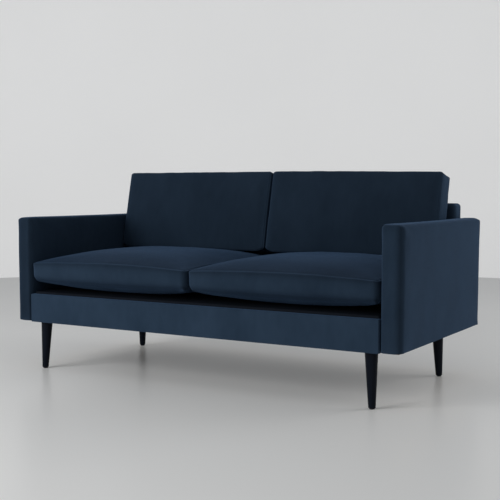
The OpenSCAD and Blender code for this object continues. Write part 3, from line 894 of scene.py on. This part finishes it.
@dataclass
class Zip:
    """A zip: two strips of tape, two rows of teeth, and a slider with its pull.

    Its own axes are X along it, Y out of the cushion and Z across the tape.
    """

    cushion: str
    width: float
    place: Matrix
    finishes: Finishes
    tape: float = 13 * MM
    split: float = 0.5 * MM
    pitch: float = 1.5 * MM
    slider_at: float = 30 * MM
    slider_size: Colour = (12 * MM, 2.9 * MM, 9 * MM)
    pull_size: Colour = (26 * MM, 1.2 * MM, 7 * MM)
    lift: float = 1.9 * MM

    @property
    def length(self) -> float:
        """The whole zip's length."""
        return zip_length(self.width)

    def build(self, body: str, cushion_piece: str) -> tuple[bpy.types.Object, ...]:
        """Makes the tape, the teeth and the slider.

        Args:
            body: the cushion's body.
            cushion_piece: the name of the cushion that the tape is sewn to; not used.

        Returns:
            The three pieces.
        """
        tape = self._tape(body)
        self.finishes.dress(tape, "zip")
        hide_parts(f"{self.cushion}_zip")
        self.length
        2 * (self.tape - self.split)
        teeth = self._teeth(body)
        self.finishes.dress(teeth, "nickel")
        slider = self._slider(f"{self.cushion}_zip_slider")
        self.finishes.dress(slider, "nickel")
        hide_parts(f"{self.cushion}_slider")
        return tape, teeth, slider

    def _tape(self, body: str) -> bpy.types.Object:
        """Two strips of tape with a slit between them.

        Args:
            body: the cushion's body.

        Returns:
            The tape.
        """
        bm = bmesh.new()
        for side in (-1, 1):
            made = bmesh.ops.create_grid(bm, x_segments=90, y_segments=4, size=0.5)["verts"]
            for vert in made:
                u, v = vert.co.x, vert.co.y + 0.5
                ripple = noise.noise(Vector((u * 40, side, 0.5))) * 0.25 * MM * v
                vert.co = (u * self.length, 0.45 * MM + ripple, side * (self.split + v * (self.tape - self.split)))
        bmesh.ops.transform(bm, matrix=self.place, verts=bm.verts[:])
        piece = finish_piece(bm, f"{self.cushion}_zip_tape", body)
        shell = piece.modifiers.new("cloth", "SOLIDIFY")
        shell.thickness = 0.5 * MM
        shell.offset = 0.0
        return piece

    def _teeth(self, body: str) -> bpy.types.Object:
        """Two rows of teeth that mesh along the middle.

        Args:
            body: the cushion's body.

        Returns:
            The teeth.
        """
        bm = bmesh.new()
        run = self.length - 12 * MM
        count = int(run / self.pitch)
        for i in range(count):
            side = 1 if i % 2 else -1
            at = Vector((-run / 2 + (i + 0.5) * self.pitch, 1.05 * MM, side * 0.9 * MM))
            size = Matrix.Diagonal((1.15 * MM, 1.3 * MM, 3.6 * MM, 1.0))
            bmesh.ops.create_cube(bm, size=1.0, matrix=self.place @ Matrix.Translation(at) @ size)
        return finish_piece(bm, f"{self.cushion}_zip_teeth", body, smooth=False)

    def _slider(self, body: str) -> bpy.types.Object:
        """The slider's body with a bridge on it, and a flat pull with a hole.

        Args:
            body: the slider's body.

        Returns:
            The slider.
        """
        bm = bmesh.new()
        x = self.slider_at - self.length / 2
        level = self.lift + self.slider_size[1] / 2 - 0.55 * MM
        self._bar(bm, Vector((x, level, 0)), Vector(self.slider_size), 0.8 * MM)
        bridge = Vector((7 * MM, 1.5 * MM, 2.4 * MM))
        self._bar(bm, Vector((x, self.lift + self.slider_size[1] - 0.2 * MM, 0)), bridge, 0.5 * MM)
        length, thick, width = self.pull_size
        level = self.lift + self.slider_size[1] - 0.3 * MM
        rail = Vector((length - 3 * MM, thick, 1.9 * MM))
        for side in (-1, 1):
            self._bar(bm, Vector((x + length / 2, level, side * (width / 2 - 0.95 * MM))), rail, 0.35 * MM)
        for at, wide in ((2.4 * MM, 2.0 * MM), (length * 0.55, 9 * MM), (length - 1.6 * MM, 3.2 * MM)):
            self._bar(bm, Vector((x + at, level, 0)), Vector((wide, thick * 0.96, width)), 0.35 * MM)
        bmesh.ops.transform(bm, matrix=self.place, verts=bm.verts[:])
        return finish_piece(bm, f"{self.cushion}_zip_pull", body, smooth=False)

    @staticmethod
    def _bar(bm: bmesh.types.BMesh, middle: Vector, size: Vector, ease: float) -> None:
        """Adds a bar with eased edges.

        Args:
            bm: the mesh that it is added to.
            middle: its middle.
            size: its three sizes.
            ease: how wide its bevels are.
        """
        shape = Matrix.Translation(middle) @ Matrix.Diagonal((*size, 1.0))
        made = bmesh.ops.create_cube(bm, size=1.0, matrix=shape)["verts"]
        edges = list({e for v in made for e in v.link_edges})
        bmesh.ops.bevel(bm, geom=edges, offset=ease, affect="EDGES", segments=3, profile=0.5, material=-1)


@dataclass
class SeatCushion:
    """A loose boxed seat cushion, crowned above and below."""

    side: str
    finishes: Finishes
    band: float = 95 * MM
    sag: float = 24 * MM
    corner: float = 22 * MM
    belly: float = 36 * MM
    tuck: float = 14 * MM
    pressed_from: float = 90 * MM

    def build(self) -> bpy.types.Object:
        """Makes the cushion in the place of its plain block.

        Returns:
            The cushion.
        """
        low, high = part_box(f"{self.side}_seat_cover")
        bottom = low.z + self.sag
        top = bottom + self.band
        crown = high.z - top
        bow = 12 * MM
        block = PaddedBlock(
            f"{self.side}_seat_cushion_soft", f"{self.side}_seat",
            Vector((low.x, low.y, bottom + self.tuck)), Vector((high.x, high.y, top)),
            (self.corner, self.belly, self.belly), (self.corner, self.corner, 6 * MM),
            step=0.0125,
            swells=(Swell(0.0, 1 * MM, 0.0, 1 * MM), Swell(-1.5 * MM, 7 * MM, 0.0, 0.0),
                    Swell(0.0, self.sag + self.tuck, bow, crown - bow - 4 * MM, power=3.0)),
            seams=(Seam.TOP, Seam.BOTTOM), cap=6 * MM, fill=0.85, uneven=1.6 * MM,
            # Painted shade: the top and bottom panels painted far darker than the walls, and a darker band along
            # the lower front edge.
            fade=30 * MM, tone=0.85, painted_face_shades={Seam.TOP: 0.16, Seam.BOTTOM: 0.2},
            painted_edge_shades={(Seam.FRONT, Seam.BOTTOM): 0.7},
            shaping=lambda co: self._kept_in(co, low, high))
        piece = block.build()
        self.finishes.dress(piece, "seat_velvet")
        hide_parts(f"{self.side}_seat_cover", f"{self.side}_seat_foam")
        return piece

    def zip(self) -> Zip:
        """The zip across the rear wall.

        Returns:
            The zip, not built yet.
        """
        low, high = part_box(f"{self.side}_seat_cover")
        zip_low, zip_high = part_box(f"{self.side}_seat_zip")
        middle = (zip_low + zip_high) / 2
        place = Matrix.Translation((middle.x, high.y, middle.z))
        return Zip(f"{self.side}_seat", high.x - low.x, place, self.finishes)

    def _kept_in(self, co: np.ndarray, low: Vector, high: Vector) -> np.ndarray:
        """Presses the cushion flat against what stands beside, behind and under it.

        Args:
            co: its points.
            low: the low corner of its box.
            high: the high corner of its box.

        Returns:
            The points, moved.
        """
        room = 1.5 * MM
        co[:, 0] = np.clip(co[:, 0], low.x - room, high.x + room)
        co[:, 1] = np.clip(co[:, 1], low.y - 8 * MM, high.y)
        co[:, 2] = np.clip(co[:, 2], low.z, high.z + 3 * MM)
        reach = (co[:, 1] - (low.y + high.y) / 2) / ((high.y - low.y) / 2)
        seam = low.z + self.sag + self.band
        pressed = seam + (high.z - seam) * (1 - reach**2) + 4 * MM
        under = eased(np.clip((co[:, 1] - self.pressed_from) / (60 * MM), 0, 1))
        co[:, 2] -= np.maximum(co[:, 2] - pressed, 0) * under
        middle = Vector(((low.x + high.x) / 2, high.y, seam - self.band / 2))
        flat = flat_near_zip(co[:, 0] - middle.x, co[:, 2] - middle.z, zip_length(high.x - low.x))
        flat *= co[:, 1] > high.y - 25 * MM
        co[:, 1] += (high.y - co[:, 1]) * flat
        return co


@dataclass
class BackCushion:
    """A loose boxed back cushion that leans on the back.

    Both of them lie a little aside in their gap, and the outer top corner of the right one slumps.
    """

    side: str
    finishes: Finishes
    band: float = 98 * MM
    height: float = 341 * MM
    lean: float = 12.4
    corner: float = 16 * MM
    fold: float = 11 * MM
    slack: float = 5 * MM
    aside: float = 8 * MM
    slump: float = 8 * MM

    def _place(self) -> Matrix:
        """Places the cushion, a little to the left of the middle of its gap.

        Returns:
            Its own axes in the row frame: X across, Y up its slope and Z out of its front.
        """
        zip_low, zip_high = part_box(f"{self.side}_back_zip")
        foot = (zip_low + zip_high) / 2 - Vector((self.aside, 0, 0))
        return Matrix.Translation(foot) @ Matrix.Rotation(math.radians(90 - self.lean), 4, "X")

    def build(self) -> bpy.types.Object:
        """Makes the cushion in the place of its plain block.

        Returns:
            The cushion.
        """
        low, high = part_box(f"{self.side}_back_cover")
        half = (high.x - low.x) / 2
        block = PaddedBlock(
            f"{self.side}_back_cushion_soft", f"{self.side}_back_cushion",
            Vector((-half, 0, -self.band / 2)), Vector((half, self.height - self.slack, self.band / 2)),
            (self.corner, 9 * MM, 12 * MM), (self.corner, 9 * MM, 9 * MM),
            step=0.0125,
            swells=(Swell(0.0, 1 * MM, 0.0, 1 * MM), Swell(0.0, 0.0, 0.0, -1 * MM),
                    Swell(3 * MM, 15 * MM, 4 * MM, 22 * MM)),
            seams=(Seam.TOP, Seam.BOTTOM), cap=7 * MM, fill=0.8, uneven=1.6 * MM,
            # Painted shade, in the block's own axes: TOP is the cushion's front, painted darker; FRONT is its
            # underside on the seat, painted darkest; REAR is its top, painted a little darker.
            fade=26 * MM, tone=1.0, painted_face_shades={Seam.TOP: 0.57, Seam.FRONT: 0.4, Seam.REAR: 0.7},
            place=self._place(), shaping=lambda co: self._kept_in(co, half))
        piece = block.build()
        self.finishes.dress(piece, "back_velvet")
        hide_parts(f"{self.side}_back_cover", f"{self.side}_back_foam")
        return piece

    def zip(self) -> Zip:
        """The zip along the lower wall.

        Returns:
            The zip, not built yet.
        """
        low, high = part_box(f"{self.side}_back_cover")
        place = self._place() @ Matrix.Rotation(math.pi, 4, "X")
        return Zip(f"{self.side}_back", high.x - low.x, place, self.finishes)

    def _kept_in(self, co: np.ndarray, half: float) -> np.ndarray:
        """Keeps the cushion off its neighbour, the seat and the back.

        Args:
            co: its points, in its own axes.
            half: half its width.

        Returns:
            The points, moved.
        """
        co[:, 0] = np.clip(co[:, 0], -half - 1.5 * MM, half + 1.5 * MM)
        co[:, 1] = np.clip(co[:, 1], 0, self.height + 2 * MM)
        co[:, 2] = np.clip(co[:, 2], -self.band / 2 - 23 * MM, self.band / 2 + 32 * MM)
        if self.side == "right":
            outward = np.clip((co[:, 0] + half / 2) / (1.5 * half), 0, 1)
            co[:, 1] -= self.slump * co[:, 1] / self.height * outward
        flat = flat_near_zip(co[:, 0], co[:, 2], zip_length(2 * half)) * (co[:, 1] < 25 * MM)
        co[:, 1] -= co[:, 1] * flat
        low_edge = np.clip((co[:, 2] - 16 * MM) / (30 * MM), 0, 1) * np.clip(1 - co[:, 1] / (60 * MM), 0, 1)
        co[:, 1] -= self.fold * eased(low_edge) * eased(np.clip((half - abs(co[:, 0])) / (40 * MM), 0, 1))
        return co


# ---------------------------------------------------------------- legs and underside


@dataclass
class Leg:
    """A turned and tapered leg, splayed along the diagonal.

    It is a little stouter than the plain leg of the frame, whose top is plain_d wide, and keeps its axis.
    """

    name: str
    finishes: Finishes
    top_d: float = 46 * MM
    foot_d: float = 25.5 * MM
    plain_d: float = 41 * MM
    splay: float = 2.8
    sides: int = 64

    def build(self) -> bpy.types.Object:
        """Makes the leg between its own top and foot planes, with eased rims.

        Returns:
            The leg.
        """
        low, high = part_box(self.name)
        side, depth = math.copysign(1, low.x + high.x), math.copysign(1, low.y + high.y)
        drop = high.z - low.z
        run = drop * math.tan(math.radians(self.splay)) / math.sqrt(2)
        # The wide top fixes the leg's inner limits in the box, so the axis starts from there.
        head = Vector((self._inner(low.x, high.x, side), self._inner(low.y, high.y, depth), high.z))
        foot = Vector((head.x + side * run, head.y + depth * run, low.z))
        over = 12 * MM
        bm = bmesh.new()
        bmesh.ops.create_cone(bm, cap_ends=True, segments=self.sides, depth=drop + 2 * over,
                              radius1=self._radius(-over, drop), radius2=self._radius(drop + over, drop))
        axis = head - foot
        turn = Vector((0, 0, 1)).rotation_difference(axis).to_matrix().to_4x4()
        bmesh.ops.transform(bm, matrix=Matrix.Translation((head + foot) / 2) @ turn, verts=bm.verts[:])
        for level, keep_below in ((high.z, True), (low.z, False)):
            self._cut(bm, level, keep_below)
        rims = [e for e in bm.edges if abs(e.verts[0].co.z - e.verts[1].co.z) < 1e-6]
        bmesh.ops.bevel(bm, geom=rims, offset=1.6 * MM, affect="EDGES", segments=4, profile=0.5, material=-1)
        piece = finish_piece(bm, f"{self.name}_turned", "frame")
        self.finishes.dress(piece, "leg_wood")
        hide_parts(self.name)
        return piece

    def _inner(self, low: float, high: float, sign: float) -> float:
        """The axis's place at the top, from the inner limit of the leg's box."""
        return low + self.plain_d / 2 if sign > 0 else high - self.plain_d / 2

    def _radius(self, height: float, drop: float) -> float:
        """The leg's radius at a height above its foot."""
        return (self.foot_d + (self.top_d - self.foot_d) * height / drop) / 2

    @staticmethod
    def _cut(bm: bmesh.types.BMesh, level: float, keep_below: bool) -> None:
        """Cuts the leg level and closes the cut.

        Args:
            bm: the leg's mesh.
            level: the height of the cut.
            keep_below: whether the part below it is kept, and not the part above.
        """
        geom = bm.verts[:] + bm.edges[:] + bm.faces[:]
        cut = bmesh.ops.bisect_plane(bm, geom=geom, plane_co=(0, 0, level), plane_no=(0, 0, 1),
                                     clear_outer=keep_below, clear_inner=not keep_below)
        rim = [e for e in cut["geom_cut"] if isinstance(e, bmesh.types.BMEdge)]
        bmesh.ops.edgeloop_fill(bm, edges=rim)


@dataclass
class DustCover:
    """The black lining stapled under the base, which sags a little between its edges."""

    finishes: Finishes
    sag: float = 3 * MM
    cuts: int = 40

    def build(self) -> bpy.types.Object:
        """Returns:
            The sheet.
        """
        low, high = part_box("dust_cover")
        size, middle = high - low, (low + high) / 2
        bm = bmesh.new()
        bmesh.ops.create_grid(bm, x_segments=self.cuts, y_segments=self.cuts // 2, size=0.5)
        for vert in bm.verts:
            u, v = vert.co.x * 2, vert.co.y * 2
            dip = ((1 - u**6) * (1 - v**6)) * self.sag
            ripple = noise.noise(Vector((u * 6, v * 3, 0.3))) * dip * 0.4
            vert.co = (middle.x + u * size.x / 2, middle.y + v * size.y / 2, high.z - 0.4 * MM - dip - ripple)
        piece = finish_piece(bm, "dust_cloth", "frame")
        shell = piece.modifiers.new("cloth", "SOLIDIFY")
        shell.thickness = 0.6 * MM
        shell.offset = 0.0
        self.finishes.dress(piece, "lining")
        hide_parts("dust_cover")
        return piece


# ---------------------------------------------------------------- studio


@dataclass
class Studio:
    """Floor, backdrop, soft lights and the camera, none of them part of the sofa."""

    camera_at: Colour = (1.989, -3.300, 0.734)
    turn: float = 30.71
    tilt: float = -4.49
    lens: float = 68.38
    shift: float = 0.030
    room: float = 4.6

    def build(self) -> None:
        """Makes the whole studio."""
        self._camera()
        self._floor()
        self._wall()
        self._lights()

    def _camera(self) -> None:
        """The camera, turned to the sofa's left and tilted a little down."""
        data = bpy.data.cameras.new("camera")
        data.lens = self.lens
        data.shift_y = self.shift
        camera = bpy.data.objects.new("camera", data)
        camera.location = self.camera_at
        camera.rotation_euler = (math.radians(90 + self.tilt), 0, math.radians(self.turn))
        bpy.context.scene.collection.objects.link(camera)
        bpy.context.scene.camera = camera

    @staticmethod
    def _surface(name: str, bm: bmesh.types.BMesh, colour: Colour, rough: float,
                 glow: float = 0.0) -> bpy.types.Object:
        """A plain pale stage object that is clear from behind, so that no side of the sofa is hidden.

        Args:
            name: its name.
            bm: its mesh, which is freed.
            colour: its colour.
            rough: its roughness.
            glow: how strongly it gives off light of its own.

        Returns:
            The stage object.
        """
        mesh = bpy.data.meshes.new(name)
        bm.to_mesh(mesh)
        bm.free()
        thing = bpy.data.objects.new(name, mesh)
        bpy.context.scene.collection.objects.link(thing)
        graph = Graph(name, Specular_IOR_Level=0.35)
        tone = graph.cloud(1.2, 2.0)
        graph.set("Base Color", graph.mix(tone, tuple(0.96 * c for c in colour), colour))
        graph.set("Roughness", rough)
        graph.set("Emission Color", colour)
        graph.set("Emission Strength", glow)
        graph.clear_from_behind()
        mesh.materials.append(graph.material)
        return thing

    def _floor(self) -> None:
        """A round pale floor with a soft gloss."""
        bm = bmesh.new()
        bmesh.ops.create_circle(bm, cap_ends=True, segments=96, radius=self.room)
        self._surface("floor", bm, (0.86, 0.86, 0.85), 0.28)

    def _wall(self) -> None:
        """A round pale wall that lights pass through, so that it shows behind the sofa from any side."""
        bm = bmesh.new()
        bmesh.ops.create_cone(bm, cap_ends=False, segments=96, radius1=self.room, radius2=self.room, depth=8)
        bmesh.ops.translate(bm, vec=(0, 0, 4), verts=bm.verts[:])
        bmesh.ops.reverse_faces(bm, faces=bm.faces[:])
        for face in bm.faces:
            face.smooth = True
        wall = self._surface("wall", bm, (0.90, 0.90, 0.90), 0.9, 0.13)
        wall.visible_shadow = wall.visible_diffuse = wall.visible_glossy = False

    def _lights(self) -> None:
        """A pale sky all round and two wide soft lamps."""
        world = bpy.data.worlds.new("sky")
        world.use_nodes = True
        sky = world.node_tree.nodes["Background"].inputs
        sky["Color"].default_value, sky["Strength"].default_value = (0.97, 0.985, 1.0, 1.0), 0.42
        bpy.context.scene.world = world
        self._lamp("key", (-2.3, -4.1, 1.8), 2.6, 145.0)
        self._lamp("side", (2.8, 1.9, 1.1), 2.0, 34.0)

    @staticmethod
    def _lamp(name: str, place: Colour, size: float, power: float) -> None:
        """A square soft lamp that points at the sofa and shows in no reflection.

        Args:
            name: its name.
            place: where it stands.
            size: the length of its side.
            power: its power in watts.
        """
        data = bpy.data.lights.new(name, "AREA")
        data.energy = power
        data.size = size
        lamp = bpy.data.objects.new(name, data)
        lamp.location = place
        aim = Vector((0, 0, 0.45)) - Vector(place)
        lamp.visible_glossy = lamp.visible_camera = False
        lamp.rotation_mode = "QUATERNION"
        lamp.rotation_quaternion = aim.to_track_quat("-Z", "Y")
        bpy.context.scene.collection.objects.link(lamp)


# ---------------------------------------------------------------- the sofa


def build_pieces(finishes: Finishes) -> Iterable[bpy.types.Object]:
    """Makes every piece of the sofa that shows, one by one.

    Args:
        finishes: the materials.

    Yields:
        Each finished piece.
    """
    carcass = Carcass(finishes)
    for side in ("left", "right"):
        yield carcass.arm(side)
    yield carcass.back()
    yield carcass.base()
    yield carcass.deck()
    for side in ("left", "right"):
        seat, back = SeatCushion(side, finishes), BackCushion(side, finishes)
        yield seat.build()
        yield back.build()
        yield from seat.zip().build(f"{side}_seat", f"{side}_seat_cushion_soft")
        yield from back.zip().build(f"{side}_back_cushion", f"{side}_back_cushion_soft")
    for end in ("front", "rear"):
        for side in ("left", "right"):
            yield Leg(f"{end}_{side}_leg", finishes).build()
    yield DustCover(finishes).build()


def main() -> None:
    """Builds the studio and the sofa, and reports each piece."""
    logging.basicConfig(level=logging.INFO, format="%(name)s: %(message)s")
    Studio().build()
    finishes = Finishes.make()
    finishes.dress_frame()
    for piece in build_pieces(finishes):
        log.info("finished %s", piece.name)
    bpy.context.scene.view_settings.view_transform = "Standard"


if __name__ == "__main__":
    main()
